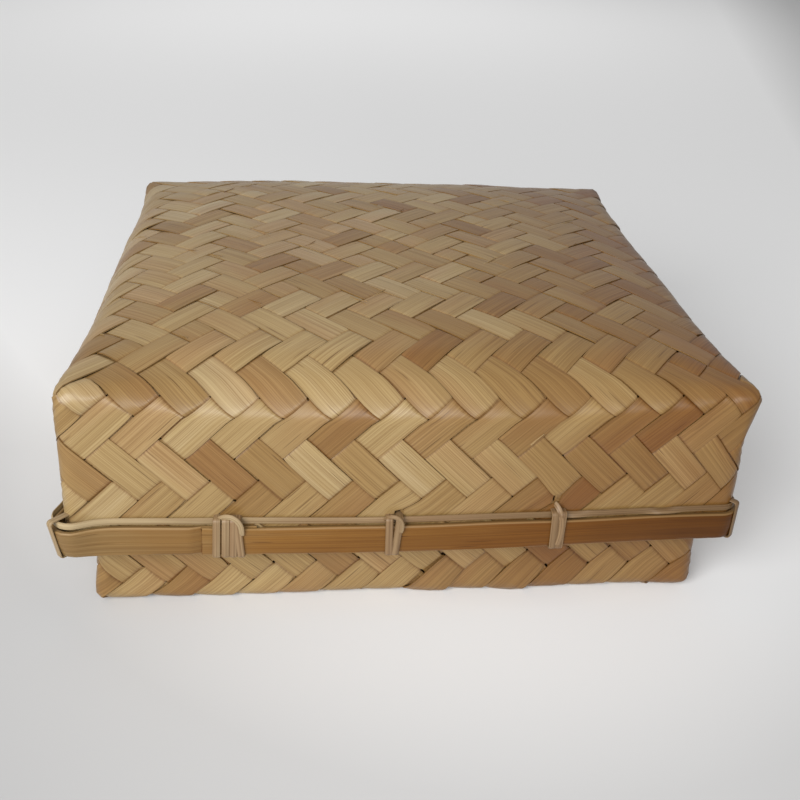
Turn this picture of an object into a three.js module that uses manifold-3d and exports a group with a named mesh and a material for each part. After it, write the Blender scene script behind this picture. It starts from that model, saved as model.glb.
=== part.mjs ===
import * as THREE from "three";
import { mergeVertices } from "three/addons/utils/BufferGeometryUtils.js";
import Module from "manifold-3d";

// Square box of plaited bamboo strip: a base, and a deep lid that slips down over it.
// Millimetres, +Z up. The origin is the middle of the underside and the front faces -Y.
// Each half is a folded woven shell, whose rim is held between two bent slats by lashings.

const wasm = await Module();
wasm.setup();

// Woven shells
const lidWidth = 250; // outside the weave, from side to side at the corners
const lidDepth = 64.5; // from the top fold down to the rim
const baseShows = 29.5; // height of base left bare below the lid's rim
const weaveThickness = 1.6; // two strips crossing
const lidCrown = 11; // the middle of the lid stands this far above its corners
const crownPower = 4; // a higher power gives a flatter middle and steeper shoulders
const cornerRadius = 5; // upright corners, outside
const lidFoldRadius = 12; // middle of each top fold
const baseFoldRadius = 4.5; // middle of each bottom fold
const cornerFoldRadius = 4; // the folds sharpen to this at the corners
const foldFadePower = 4; // how near the corner a fold sharpens
const lidRimBow = 3; // the middle of each side stands out this far at the rim
const lidFoldBow = 2; // and this far at the fold
const baseRimBow = 1.5;
const baseFoldBow = 0.5;

// Rims
const slatHeight = 11.5;
const lidOuterSlat = 2.2; // thickness of the split culm
const lidInnerSlat = 1.6;
const baseOuterSlat = 1.8;
const baseInnerSlat = 1.6;
const slatEdge = 0.5; // rounding along the open edges of a slat
const lapLength = 20; // the planed ends of a slat lie over each other this far
const lapShoulder = 4; // a slat thins to its planed end over this length
const strandWidth = 2.7; // skin strand that runs along the rim and ties it
const strandThickness = 0.8;
const strandBend = 1.1; // radius of a lashing's bends, to the middle of the strand
const strandGap = 0.5; // between the turns of one lashing

// Fits
const seatGap = 0.3; // between pieces that touch
const slideClearance = 1; // between the lid's lashings and the base's as the lid slips on

// Lashings of each side: places as shares of half the width, and turns at each place
const lidStations = [-0.52, -0.04, 0.45];
const baseStations = [-0.52, 0, 0.52];
const lapTurns = 4; // where the outer slat's ends lie over each other
const sideTurns = 2;
const cornerTurns = 1;

// Facets
const cornerSteps = 4;
const sideSteps = 8;
const foldSteps = 5;
const topSteps = 6;
const bendSteps = 2;

// The lid's inner layers, the clearance and the base's outer layers set the base's width,
// and the base is as deep as carries the lid's top on its rim.
const lidStack = weaveThickness + lidInnerSlat + strandThickness + 2 * seatGap;
const baseStack = baseOuterSlat + strandThickness + 2 * seatGap;
const baseWidth = lidWidth - 2 * (lidStack + slideClearance + baseStack);
const baseDepth = baseShows + lidDepth - weaveThickness - strandThickness - 2 * seatGap;

// Heights above the rim's free edge
const runHeight = slatHeight + seatGap; // the running strand stands on the outer slat
const crossHeight = runHeight + strandWidth + seatGap; // lashings pass through the weave
const bandHeight = crossHeight + strandThickness + slatEdge; // the wall stays upright to here
const turnPitch = strandWidth + strandGap;

const quarter = Math.PI / 2;
const sides = 4;

const lid = {
  name: "lid",
  width: lidWidth,
  depth: lidDepth,
  foldRadius: lidFoldRadius,
  crown: lidCrown,
  rimBow: lidRimBow,
  foldBow: lidFoldBow,
  outerSlat: lidOuterSlat,
  innerSlat: lidInnerSlat,
  stations: lidStations,
  sideNames: ["front", "left", "back", "right"],
  cornerNames: ["front_left", "back_left", "back_right", "front_right"],
};

const base = {
  name: "base",
  width: baseWidth,
  depth: baseDepth,
  foldRadius: baseFoldRadius,
  crown: 0,
  rimBow: baseRimBow,
  foldBow: baseFoldBow,
  outerSlat: baseOuterSlat,
  innerSlat: baseInnerSlat,
  stations: baseStations,
  sideNames: ["back", "left", "front", "right"],
  cornerNames: ["back_left", "front_left", "front_right", "back_right"],
};

// Plan outline of a shell: a rounded square whose sides bow outwards. Each mark is a point
// with its outward normal. They run clockwise seen from above, from the front right corner.
function outline(half, radius, bow) {
  const marks = [];
  const straight = half - radius;
  for (let side = 0; side < sides; side += 1) {
    for (let i = 0; i < sideSteps; i += 1) {
      const share = 1 - (2 * i) / sideSteps;
      const swell = 1 - share * share;
      const point = new THREE.Vector2(share * straight, -half - bow * swell * swell);
      const normal = new THREE.Vector2((4 * bow * share * swell) / straight, -1).normalize();
      marks.push(turned(point, normal, side));
    }
    for (let i = 0; i < cornerSteps; i += 1) {
      const angle = -quarter * (1 + i / cornerSteps);
      const normal = new THREE.Vector2(Math.cos(angle), Math.sin(angle));
      const point = normal.clone().multiplyScalar(radius).addScalar(-straight);
      marks.push(turned(point, normal, side));
    }
  }
  return marks;
}

function turned(point, normal, side) {
  const centre = new THREE.Vector2();
  point.rotateAround(centre, -quarter * side);
  normal.rotateAround(centre, -quarter * side);
  return { point, normal };
}

// The outline as a path: its length, the length at each mark, and the place at any length.
function rimPath(half, radius, bow) {
  const marks = outline(half, radius, bow);
  const lengths = [0];
  marks.forEach((mark, i) => {
    const next = marks[(i + 1) % marks.length];
    lengths.push(lengths[i] + mark.point.distanceTo(next.point));
  });
  const total = lengths[marks.length];
  function at(length) {
    const along = ((length % total) + total) % total;
    const i = Math.min(lengths.findLastIndex((l) => l <= along), marks.length - 1);
    const share = (along - lengths[i]) / (lengths[i + 1] - lengths[i]);
    const next = marks[(i + 1) % marks.length];
    const point = marks[i].point.clone().lerp(next.point, share);
    const normal = marks[i].normal.clone().lerp(next.normal, share);
    return { point, normal };
  }
  // The length at which a side passes a place across its width
  function lengthAt(side, across) {
    return (side * total) / sides + half - radius - across;
  }
  function lengthAtCorner(side) {
    return lengths[side * (sideSteps + cornerSteps) + sideSteps + cornerSteps / 2];
  }
  return { total, lengths, at, lengthAt, lengthAtCorner };
}

// Closed solid through a row of rings, each of as many points, or of one at a closed end
function loft(rings) {
  const points = rings.flat();
  const starts = [];
  let count = 0;
  for (const ring of rings) {
    starts.push(count);
    count += ring.length;
  }
  const pointAt = (r, i) => starts[r] + (i % rings[r].length);
  const index = [];
  for (let r = 0; r + 1 < rings.length; r += 1) {
    const size = Math.max(rings[r].length, rings[r + 1].length);
    for (let i = 0; i < size; i += 1) {
      const [a, b] = [pointAt(r, i), pointAt(r, i + 1)];
      const [c, d] = [pointAt(r + 1, i), pointAt(r + 1, i + 1)];
      if (a !== b) {
        index.push(a, b, d);
      }
      if (c !== d) {
        index.push(a, d, c);
      }
    }
  }
  const last = rings.length - 1;
  for (let i = 1; i + 1 < rings[0].length; i += 1) {
    index.push(pointAt(0, 0), pointAt(0, i + 1), pointAt(0, i));
  }
  for (let i = 1; i + 1 < rings[last].length; i += 1) {
    index.push(pointAt(last, 0), pointAt(last, i), pointAt(last, i + 1));
  }
  return facingOutwards(points, index);
}

function facingOutwards(points, index) {
  let volume = 0;
  for (let i = 0; i < index.length; i += 3) {
    const [a, b, c] = index.slice(i, i + 3).map((k) => points[k]);
    volume += a.dot(b.clone().cross(c));
  }
  if (volume < 0) {
    index.reverse();
  }
  const geometry = new THREE.BufferGeometry().setFromPoints(points);
  geometry.setIndex(index);
  geometry.computeVertexNormals();
  return geometry;
}

// Rings of one face of a shell, from the rim up over the fold to the middle of the top
function shellRings(half, inset) {
  const side = half.width / 2 - inset;
  const radius = cornerRadius - inset;
  const straight = side - radius;
  const top = half.depth - inset;
  const middleBow = (half.rimBow + half.foldBow) / 2;
  const rimMarks = outline(side, radius, half.rimBow);
  const middleMarks = outline(side, radius, middleBow);
  const foldMarks = outline(side, radius, half.foldBow);

  // The fold is softest halfway along a side and sharpens towards the corners
  function foldAt(point) {
    const share = Math.min(1, Math.min(Math.abs(point.x), Math.abs(point.y)) / straight);
    const softness = 1 - share ** foldFadePower;
    return cornerFoldRadius + (half.foldRadius - cornerFoldRadius) * softness - inset;
  }
  function crownAt(point) {
    const fall = (distance) => Math.max(0, 1 - Math.abs((2 * distance) / half.width) ** crownPower);
    return half.crown * fall(point.x) * fall(point.y);
  }
  const level = (marks, z) => marks.map(({ point }) => new THREE.Vector3(point.x, point.y, z));

  const rings = [level(rimMarks, 0), level(rimMarks, bandHeight)];
  rings.push(
    middleMarks.map(({ point }) => {
      const z = (bandHeight + top - foldAt(point)) / 2;
      return new THREE.Vector3(point.x, point.y, z);
    }),
  );
  for (let i = 0; i <= foldSteps; i += 1) {
    const angle = (quarter * i) / foldSteps;
    rings.push(
      foldMarks.map(({ point, normal }) => {
        const fold = foldAt(point);
        const place = point.clone().addScaledVector(normal, -fold * (1 - Math.cos(angle)));
        const rise = (fold + crownAt(place)) * Math.sin(angle);
        return new THREE.Vector3(place.x, place.y, top - fold + rise);
      }),
    );
  }
  const edge = rings.at(-1);
  for (let i = 1; i < topSteps; i += 1) {
    const share = 1 - i / topSteps;
    rings.push(
      edge.map((corner) => {
        const place = new THREE.Vector2(corner.x, corner.y).multiplyScalar(share);
        return new THREE.Vector3(place.x, place.y, top + crownAt(place));
      }),
    );
  }
  rings.push([new THREE.Vector3(0, 0, top + half.crown)]);
  return rings;
}

function solidOf(geometry) {
  const bare = geometry.index ? geometry.toNonIndexed() : geometry.clone();
  bare.deleteAttribute("normal");
  bare.deleteAttribute("uv");
  const merged = mergeVertices(bare);
  const vertProperties = new Float32Array(merged.attributes.position.array);
  const triVerts = new Uint32Array(merged.index.array);
  return new wasm.Manifold(new wasm.Mesh({ numProp: 3, vertProperties, triVerts }));
}

function geometryOf(solid) {
  const { vertProperties, triVerts } = solid.getMesh();
  const geometry = new THREE.BufferGeometry();
  geometry.setAttribute("position", new THREE.BufferAttribute(vertProperties, 3));
  geometry.setIndex(new THREE.BufferAttribute(triVerts, 1));
  geometry.computeVertexNormals();
  return geometry;
}

// Woven shell with a slot for each lashing through its wall
function wovenShell(half, lashings) {
  const outside = shellRings(half, 0);
  const inside = shellRings(half, weaveThickness);
  let solid = solidOf(loft([...inside.reverse(), ...outside]));
  for (const { place, turns } of lashings) {
    const slot = new THREE.BoxGeometry(
      turns * turnPitch + 2 * seatGap,
      2 * cornerRadius,
      strandThickness + 2 * seatGap,
    );
    slot.rotateZ(Math.atan2(place.normal.y, place.normal.x) + quarter);
    slot.translate(place.point.x, place.point.y, crossHeight + strandThickness / 2);
    solid = solid.subtract(solidOf(slot));
  }
  return geometryOf(solid);
}

// Slat bent round the rim. Its near face lies at nearFace, measured outwards from the weave's
// outer face, and its skin at skinFace. Both ends are planed to lie over each other.
function slat(path, nearFace, skinFace, lapAt) {
  const thickness = Math.abs(skinFace - nearFace);
  const planed = (thickness - seatGap) / 2;
  const out = Math.sign(skinFace - nearFace);
  const start = lapAt - lapLength / 2;
  const ends = [0, lapLength, lapLength + lapShoulder];
  ends.push(path.total - lapShoulder, path.total, path.total + lapLength);
  const steps = [0, 1].flatMap((lap) => path.lengths.map((l) => l - start + lap * path.total));
  const between = steps.filter((l) => l > lapLength + lapShoulder && l < path.total - lapShoulder);
  const stations = [...ends.slice(0, 3), ...new Set(between), ...ends.slice(3)].sort((a, b) => a - b);
  const share = (value, from, to) => THREE.MathUtils.clamp((value - from) / (to - from), 0, 1);
  return loft(
    stations.map((length) => {
      const { point, normal } = path.at(start + length);
      const fullSkin = share(length, lapLength, lapLength + lapShoulder);
      const cutBack = share(length, path.total - lapShoulder, path.total);
      const skin = nearFace + out * THREE.MathUtils.lerp(planed, thickness, fullSkin);
      const back = nearFace + out * cutBack * (thickness - planed);
      const section = [
        [back, 0],
        [skin - out * slatEdge, 0],
        [skin, slatEdge],
        [skin, slatHeight - slatEdge],
        [skin - out * slatEdge, slatHeight],
        [back, slatHeight],
      ];
      return section.map(([offset, z]) => raised(point, normal, offset, z));
    }),
  );
}

function raised(point, normal, offset, z) {
  return new THREE.Vector3(point.x + normal.x * offset, point.y + normal.y * offset, z);
}

// Strand that lies on the outer slat all the way round, with its ends under the lap's lashing
function runningStrand(path, lapAt) {
  const steps = [0, 1].flatMap((lap) => path.lengths.map((l) => l - lapAt + lap * path.total));
  const inside = steps.filter((l) => l > seatGap && l < path.total - seatGap);
  const stations = [seatGap, ...new Set(inside), path.total - seatGap].sort((a, b) => a - b);
  const [near, far] = [seatGap, seatGap + strandThickness];
  const [low, high] = [runHeight, runHeight + strandWidth];
  return loft(
    stations.map((length) => {
      const { point, normal } = path.at(lapAt + length);
      const section = [
        [near, low],
        [far, low],
        [far, high],
        [near, high],
      ];
      return section.map(([offset, z]) => raised(point, normal, offset, z));
    }),
  );
}

// A flat strand across the hollow of a bent slat stands off it by this much at its middle
function cornerStandOff(half) {
  const radius = cornerRadius - weaveThickness - seatGap - half.innerSlat;
  const reach = strandWidth / 2 + seatGap;
  const arc = Math.min(reach, radius * Math.SQRT1_2);
  return radius - Math.sqrt(radius * radius - arc * arc) + reach - arc;
}

// One strand wound round the slats and through the weave. It starts and ends halfway up the
// inner slat. Turns move along the rim by one pitch each, and a single turn stays in its plane.
function lashingPath(half, turns) {
  const reach = strandThickness / 2 + seatGap;
  const standOff = turns === cornerTurns ? cornerStandOff(half) : 0;
  const inner = -weaveThickness - seatGap - half.innerSlat - reach - standOff;
  const outer = seatGap + half.outerSlat + reach;
  const [low, high] = [-reach, crossHeight + strandThickness / 2];
  const bends = [
    [inner + strandBend, low + strandBend],
    [outer - strandBend, low + strandBend],
    [outer - strandBend, high - strandBend],
    [inner + strandBend, high - strandBend],
  ];
  const startAngle = -Math.PI;
  const middle = (low + high) / 2;
  const points = [{ offset: inner, z: middle - seatGap / 2, angle: startAngle }];
  for (let turn = 0; turn < turns; turn += 1) {
    bends.forEach(([offset, z], corner) => {
      for (let i = 0; i <= bendSteps; i += 1) {
        const angle = startAngle + quarter * (corner + i / bendSteps);
        const [x, y] = [Math.cos(angle) * strandBend, Math.sin(angle) * strandBend];
        points.push({ offset: offset + x, z: z + y, angle });
      }
    });
  }
  points.push({ offset: inner, z: middle + seatGap / 2, angle: startAngle });

  let travelled = 0;
  points.forEach((at, i) => {
    const before = points[Math.max(0, i - 1)];
    travelled += Math.hypot(at.offset - before.offset, at.z - before.z);
    at.travelled = travelled;
  });
  // The turns are centred where the strand passes through the weave, above the bends
  const crossings = points.filter((at) => at.z > high - strandBend / 2);
  const centre = crossings.reduce((sum, at) => sum + at.travelled, 0) / crossings.length;
  const slope = turns > 1 ? (turns * turnPitch) / travelled : 0;
  points.forEach((at) => {
    at.along = (at.travelled - centre) * slope;
  });
  return points;
}

function lashing(half, { place, turns }) {
  const outward = new THREE.Vector3(place.normal.x, place.normal.y, 0).normalize();
  const along = new THREE.Vector3(outward.y, -outward.x, 0);
  const origin = new THREE.Vector3(place.point.x, place.point.y, 0);
  return loft(
    lashingPath(half, turns).map((at) => {
      const ring = [];
      for (const [across, through] of [[-1, -1], [1, -1], [1, 1], [-1, 1]]) {
        const thick = (through * strandThickness) / 2;
        const corner = origin.clone();
        corner.addScaledVector(along, at.along + (across * strandWidth) / 2);
        corner.addScaledVector(outward, at.offset + thick * Math.cos(at.angle));
        corner.z += at.z + thick * Math.sin(at.angle);
        ring.push(corner);
      }
      return ring;
    }),
  );
}

// The least distance between neighbouring turns of one lashing
function leastGap(half, turns) {
  const points = lashingPath(half, turns);
  const loop = (points.length - 2) / turns;
  let least = Infinity;
  for (let i = 1; i + loop < points.length - 1; i += 1) {
    least = Math.min(least, points[i + loop].along - points[i].along - strandWidth);
  }
  return least;
}

const weaveColour = new THREE.Color("#cfae73");
const slatColour = new THREE.Color("#a87a45");
const strandColour = new THREE.Color("#c2a57a");

function piece(name, geometry, color, roughness) {
  const material = new THREE.MeshStandardMaterial({ color, roughness, metalness: 0 });
  const mesh = new THREE.Mesh(geometry, material);
  mesh.name = name;
  return mesh;
}

const weaveRoughness = 0.5;
const slatRoughness = 0.4;
const strandRoughness = 0.55;

// Places of all the lashings round one rim, with a name for each
function lashingPlaces(half, path) {
  const places = [];
  half.sideNames.forEach((sideName, side) => {
    half.stations.forEach((share, i) => {
      const place = path.at(path.lengthAt(side, (share * half.width) / 2));
      const overLap = side === 0 && i === 0;
      const turns = overLap ? lapTurns : sideTurns;
      places.push({ name: `${half.name}_lashing_${sideName}_${i + 1}`, place, turns });
    });
    const place = path.at(path.lengthAtCorner(side));
    places.push({ name: `${half.name}_lashing_${half.cornerNames[side]}`, place, turns: cornerTurns });
  });
  return places;
}

// One half of the box with its rim's free edge at z = 0 and its closed face upwards
function makeHalf(half) {
  const group = new THREE.Group();
  const path = rimPath(half.width / 2, cornerRadius, half.rimBow);
  const places = lashingPlaces(half, path);
  const lapAt = path.lengthAt(0, (half.stations[0] * half.width) / 2);
  const outerNear = seatGap;
  const innerNear = -weaveThickness - seatGap;
  const shell = wovenShell(half, places);
  const outerSlat = slat(path, outerNear, outerNear + half.outerSlat, lapAt);
  const innerSlat = slat(path, innerNear, innerNear - half.innerSlat, lapAt);
  const strand = runningStrand(path, lapAt);
  group.add(piece(`${half.name}_weave`, shell, weaveColour, weaveRoughness));
  group.add(piece(`${half.name}_outer_slat`, outerSlat, slatColour, slatRoughness));
  group.add(piece(`${half.name}_inner_slat`, innerSlat, slatColour, slatRoughness));
  group.add(piece(`${half.name}_running_strand`, strand, strandColour, strandRoughness));
  for (const lashed of places) {
    group.add(piece(lashed.name, lashing(half, lashed), strandColour, strandRoughness));
  }
  return group;
}

const box = new THREE.Group();

const lidGroup = makeHalf(lid);
lidGroup.position.z = baseShows;
box.add(lidGroup);

const baseGroup = makeHalf(base);
baseGroup.rotation.x = Math.PI;
baseGroup.position.z = baseDepth;
box.add(baseGroup);

console.log(`least gap between a lashing's turns: ${leastGap(lid, lapTurns).toFixed(2)} mm`);

export default box;
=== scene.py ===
import math

import bmesh
import bpy
import numpy as np
from mathutils import Matrix, Vector


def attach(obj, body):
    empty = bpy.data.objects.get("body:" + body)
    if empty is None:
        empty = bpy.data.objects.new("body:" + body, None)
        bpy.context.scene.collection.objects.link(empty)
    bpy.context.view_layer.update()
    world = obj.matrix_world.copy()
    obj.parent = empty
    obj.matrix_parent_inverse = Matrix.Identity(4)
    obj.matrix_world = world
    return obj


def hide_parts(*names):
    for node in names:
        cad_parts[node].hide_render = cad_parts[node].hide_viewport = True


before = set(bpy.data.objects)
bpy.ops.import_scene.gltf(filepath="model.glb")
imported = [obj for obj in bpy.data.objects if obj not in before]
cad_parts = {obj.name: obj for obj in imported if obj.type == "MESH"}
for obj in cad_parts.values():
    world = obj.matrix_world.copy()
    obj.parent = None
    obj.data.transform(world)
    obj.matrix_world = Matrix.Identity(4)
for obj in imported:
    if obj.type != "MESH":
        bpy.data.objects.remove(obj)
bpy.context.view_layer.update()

mm = 0.001
chance = np.random.default_rng(31)  # every irregularity is drawn from here, so each run is the same

# The two woven halves in millimetres, each with its closed face up and its rim's free edge at
# height 0. inPlace() turns the base over and sets both where the CAD has them.
lid = {
    "name": "lid",
    "size": 125.0,  # from the middle to the outer face of a wall
    "depth": 64.5,
    "foldRadius": 12.0,
    "cornerRadius": 5.0,
    "crown": 11.0,
    "headroom": 1.5,  # how far strips may stand above the crown
    "rimBow": (3.0, 3.0),  # how far the walls stand out mid-side, to the sides and to the front
    "foldBow": (0.4, 2.0),
    "outerSlat": 2.2,
    "innerSlat": 1.6,
    "stations": (-0.52, -0.04, 0.45),  # of each side's ties, as shares of half the width
    "lift": 30.3,
    "turnedOver": False,
    "lean": 2.5,  # the top stands this far to the right of the rim
    "rimSlope": 1.04,  # the rim is this much lower at its left end and higher at its right
    "topSlope": -1.46,  # and the closed face is higher at its left end
    "cornerEar": (0.0, 2.2),  # plaiting leaves a small point at each corner of the closed face
    "waist": (2.2, 42.0, 14.0),  # how far the right wall draws in, at what height, over what reach
    "shoulder": (9.3, 99.0),  # lowers the front fold, from this far in front of the middle on
    "pull": 4.6,  # the strips on the front lie this far to the right of even
    "bandDrift": (0.0, 0.0),  # the front's bands rise this much at its left and its right end
    "looseCorner": 3.0,  # the slat springs away from the weave at the front left corner
    "rowShift": 0,  # rows by which the zigzag is shifted
    "frontSlots": [(0.4, 0.0), (1.5, 3.0), (1.5, -2.0)],  # radius, and how far up strips were drawn
    "sides": ("front", "left", "back", "right"),  # clockwise from above, before it is turned over
}
base = {
    "name": "base",
    "size": 116.2,
    "depth": 91.0,
    "foldRadius": 4.5,
    "cornerRadius": 5.0,
    "crown": 0.0,
    "headroom": 0.0,
    "rimBow": (1.5, 1.5),
    "foldBow": (0.5, 0.5),
    "outerSlat": 1.8,
    "innerSlat": 1.6,
    "stations": (-0.52, 0.0, 0.52),
    "lift": 91.0,
    "turnedOver": True,
    "lean": 0.0,
    "rimSlope": 0.0,
    "topSlope": 0.0,
    "cornerEar": (2.6, 2.6),
    "waist": (0.0, 42.0, 14.0),
    "shoulder": (0.0, 99.0),
    "pull": 0.0,
    "bandDrift": (-2.9, 4.0),
    "looseCorner": 0.0,
    "rowShift": 2,
    "frontSlots": [(0.4, 0.0)] * 3,
    "sides": ("back", "left", "front", "right"),
}
rim = {
    "weave": 1.6,  # thickness of the two plies of strip
    "gap": 0.3,
    "slatHeight": 11.5,
    "lap": 20.0,
    "scarf": 4.0,  # length over which a slat's planed end thickens
    "strandWidth": 2.7,
    "strandThickness": 0.8,
    "band": 17.0,  # height of wall behind the slats and ties, which stays upright
    "hem": 0.4,  # the strips end this far above the rim's free edge
    "looseReach": 9.0,  # length of rim along which a slat springs away
    "sideSteps": 80,
    "cornerSteps": 12,
}


# The rim stays within its slats and the base stands flat
def heldLevel(half, points):
    top = half["depth"] + half["crown"] + half["headroom"]
    points[:, 2] = np.clip(points[:, 2], rim["hem"], top)
    return points


# A half's own lean, slopes, waist and corner points, and then its place in the box
def inPlace(half, points):
    x, y, z = points.T
    rise = np.clip(z / half["depth"], 0, 1)
    across = np.clip(x / half["size"], -1, 1)
    deep = np.clip(y / half["size"], -1, 1)
    frontLeft, others = half["cornerEar"]
    ear = np.where((x < 0) & (y < 0), frontLeft, others) * np.abs(across * deep) ** 9 * rise**3
    waist, waistHeight, waistReach = half["waist"]
    drawnIn = waist * np.clip(across, 0, 1) ** 8 * np.exp(-(((z - waistHeight) / waistReach) ** 2))
    x = x + half["lean"] * rise + ear * np.sign(x) - drawnIn
    y = y + ear * np.sign(y)
    z = z + across * (half["rimSlope"] * (1 - rise) + half["topSlope"] * rise)
    points = np.stack([x, y, z], 1)
    if half["turnedOver"]:
        points = points * np.array([1, -1, -1])
    return (points + np.array([0, 0, half["lift"]])) * mm


# Materials


def linear(hexColour):
    channels = [int(hexColour[i:i + 2], 16) / 255 for i in (1, 3, 5)]
    return [c / 12.92 if c <= 0.04045 else ((c + 0.055) / 1.055) ** 2.4 for c in channels] + [1.0]


def addNode(tree, kind, inputs=None, stops=None, **settings):
    node = tree.nodes.new("ShaderNode" + kind)
    for name, value in settings.items():
        setattr(node, name, value)
    if stops:
        ramp = node.color_ramp.elements
        while len(ramp) < len(stops):
            ramp.new(1.0)
        for element, (position, colour) in zip(ramp, stops):
            element.position = position
            element.color = linear(colour)
    for socket, value in (inputs or {}).items():
        if isinstance(value, bpy.types.NodeSocket):
            tree.links.new(value, node.inputs[socket])
        else:
            node.inputs[socket].default_value = value
    return node


def combined(tree, operation, *values):
    return addNode(tree, "Math", dict(enumerate(values)), operation=operation).outputs[0]


def ranged(tree, value, low, high, atLow, atHigh):
    inputs = {0: value, 1: low, 2: high, 3: atLow, 4: atHigh}
    return addNode(tree, "MapRange", inputs).outputs[0]


def tinted(tree, share, under, colour, blend="MULTIPLY"):
    inputs = {0: share, 6: under, 7: linear(colour)}
    return addNode(tree, "Mix", inputs, data_type="RGBA", blend_type=blend).outputs[2]


def newMaterial(name):
    material = bpy.data.materials.new(name)
    material.use_nodes = True
    material.node_tree.nodes.clear()
    return material, material.node_tree


# Bamboo has straight fibres along each strip, some tenths of a millimetre apart, in streaks a few
# millimetres wide. It was split and scraped by hand, so it is satin and its tone drifts slowly.
def bambooMaterial(name, look):
    material, tree = newMaterial(name)
    uv = addNode(tree, "UVMap", uv_map="fibres").outputs["UV"]
    tone, tuck, edge = (
        addNode(tree, "Attribute", attribute_name=attribute).outputs["Fac"]
        for attribute in ("tone", "tuck", "edge")
    )

    def streaks(length, width, detail):
        place = addNode(tree, "Mapping", {0: uv, "Scale": (1 / length, 1 / width, 1)}).outputs[0]
        inputs = {"Vector": place, "Scale": 1.0, "Detail": detail}
        return addNode(tree, "TexNoise", inputs).outputs["Fac"]

    fine = streaks(70 * mm, 0.36 * mm, 2.0)
    ribs = streaks(140 * mm, 1.1 * mm, 1.0)
    bands = streaks(160 * mm, 3.4 * mm, 1.0)
    clouds = streaks(30 * mm, 10 * mm, 2.0)
    cracks = streaks(26 * mm, 0.8 * mm, 0.0)
    blush = streaks(90 * mm, 26 * mm, 0.0)

    drift = combined(tree, "MULTIPLY_ADD", bands, look["bandSpread"], tone)
    drift = combined(tree, "MULTIPLY_ADD", clouds, look["cloudSpread"], drift)
    level = combined(tree, "SUBTRACT", drift, (look["bandSpread"] + look["cloudSpread"]) / 2)
    colour = addNode(tree, "ValToRGB", {"Fac": level}, look["stops"]).outputs[0]
    layers = [
        # Some lengths of strip are pinker than the rest
        (ranged(tree, blush, 0.45, 0.65, 0.0, look["blush"]), "#f2d6cf"),
        (ranged(tree, fine, 0.38, 0.58, look["fibreDepth"], 0.0), look["fibreColour"]),
        (ranged(tree, ribs, 0.38, 0.6, look["ribDepth"], 0.0), look["fibreColour"]),
        (ranged(tree, cracks, 0.2, 0.23, 0.55, 0.0), "#85602f"),
        # Painted shade: where a strip lies under or dives under its neighbour, and at a slat's cut end,
        # it turns darker and amber
        (combined(tree, "MULTIPLY", tuck, 0.5), "#a8743a"),
    ]
    for share, layerColour in layers:
        colour = tinted(tree, share, colour, layerColour)
    # Edges take a tint of their own: paler on the slats' worn edges, darker on strips and strands
    edgeTint = ranged(tree, edge, 0.86, 1.0, 0.0, look["edgeShare"])
    colour = tinted(tree, edgeTint, colour, look["edgeColour"], "MIX")

    relief = combined(tree, "MULTIPLY_ADD", ribs, 1.6, fine)
    bump = addNode(tree, "Bump", {"Strength": 0.6, "Distance": 0.045 * mm, "Height": relief})
    dullest, shiniest = look["roughness"] + 0.07, look["roughness"] - 0.05
    inputs = {
        "Base Color": colour,
        "Roughness": ranged(tree, fine, 0.3, 0.7, dullest, shiniest),
        "IOR": 1.5,
        "Specular IOR Level": look["sheen"],
        "Normal": bump.outputs[0],
    }
    surface = addNode(tree, "BsdfPrincipled", inputs).outputs[0]
    addNode(tree, "OutputMaterial", {"Surface": surface})
    return material


# Plaiting strips show the culm's inside, scraped flat: straw to honey with fine grey-brown lines
scrapedBamboo = bambooMaterial(
    "scrapedBambooStrip",
    {
        "stops": [(0, "#b29f7b"), (0.3, "#a48c60"), (0.6, "#907346"), (1, "#7a5529")],
        "bandSpread": 0.22,
        "cloudSpread": 0.2,
        "fibreColour": "#a98a58",
        "fibreDepth": 0.42,
        "ribDepth": 0.17,
        "edgeColour": "#6b4d28",
        "edgeShare": 0.3,
        "blush": 0.42,
        "roughness": 0.33,
        "sheen": 0.4,
    },
)
# Slats show the culm's hard skin: smooth, a deeper brown, and pale where its edges are worn
culmSkin = bambooMaterial(
    "splitCulmSkin",
    {
        "stops": [(0, "#866c45"), (0.35, "#7f5929"), (0.7, "#6b4315"), (1, "#54310b")],
        "bandSpread": 0.3,
        "cloudSpread": 0.25,
        "fibreColour": "#a98650",
        "fibreDepth": 0.3,
        "ribDepth": 0.25,
        "edgeColour": "#a08458",
        "edgeShare": 0.5,
        "blush": 0.1,
        "roughness": 0.36,
        "sheen": 0.2,
    },
)
# Tying strands are narrow splits of skin, greyer and duller than the rest
tyingStrand = bambooMaterial(
    "splitSkinStrand",
    {
        "stops": [(0, "#b8a783"), (0.5, "#8e7555"), (1, "#6c5334")],
        "bandSpread": 0.4,
        "cloudSpread": 0.4,
        "fibreColour": "#a3865a",
        "fibreDepth": 0.5,
        "ribDepth": 0.3,
        "edgeColour": "#6f522c",
        "edgeShare": 0.25,
        "blush": 0.15,
        "roughness": 0.46,
        "sheen": 0.4,
    },
)
print("materials made")


# Strips, slats and strands, and a strand's back, each take their own stretch of the fibre pattern,
# this many millimetres from the next
ownStretch = {
    "strip": (700, 60),
    "stripBack": 20,
    "sliver": (40, 11),
    "slat": 3000,
    "run": 900,
    "tie": 130,
    "tuck": 50,
    "strandBack": 9,
}
seam = {"width": 0.002 * mm, "sharpAngle": 40}


# Close the seam along each strip and its two ends
def closeSeams(mesh):
    closed = bmesh.new()
    closed.from_mesh(mesh)
    bmesh.ops.remove_doubles(closed, verts=closed.verts, dist=seam["width"])
    openEdges = [edge for edge in closed.edges if edge.is_boundary]
    bmesh.ops.holes_fill(closed, edges=openEdges, sides=0)
    bmesh.ops.recalc_face_normals(closed, faces=closed.faces)
    closed.to_mesh(mesh)
    closed.free()
    mesh.polygons.foreach_set("use_smooth", [True] * len(mesh.polygons))
    mesh.set_sharp_from_angle(angle=math.radians(seam["sharpAngle"]))


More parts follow.
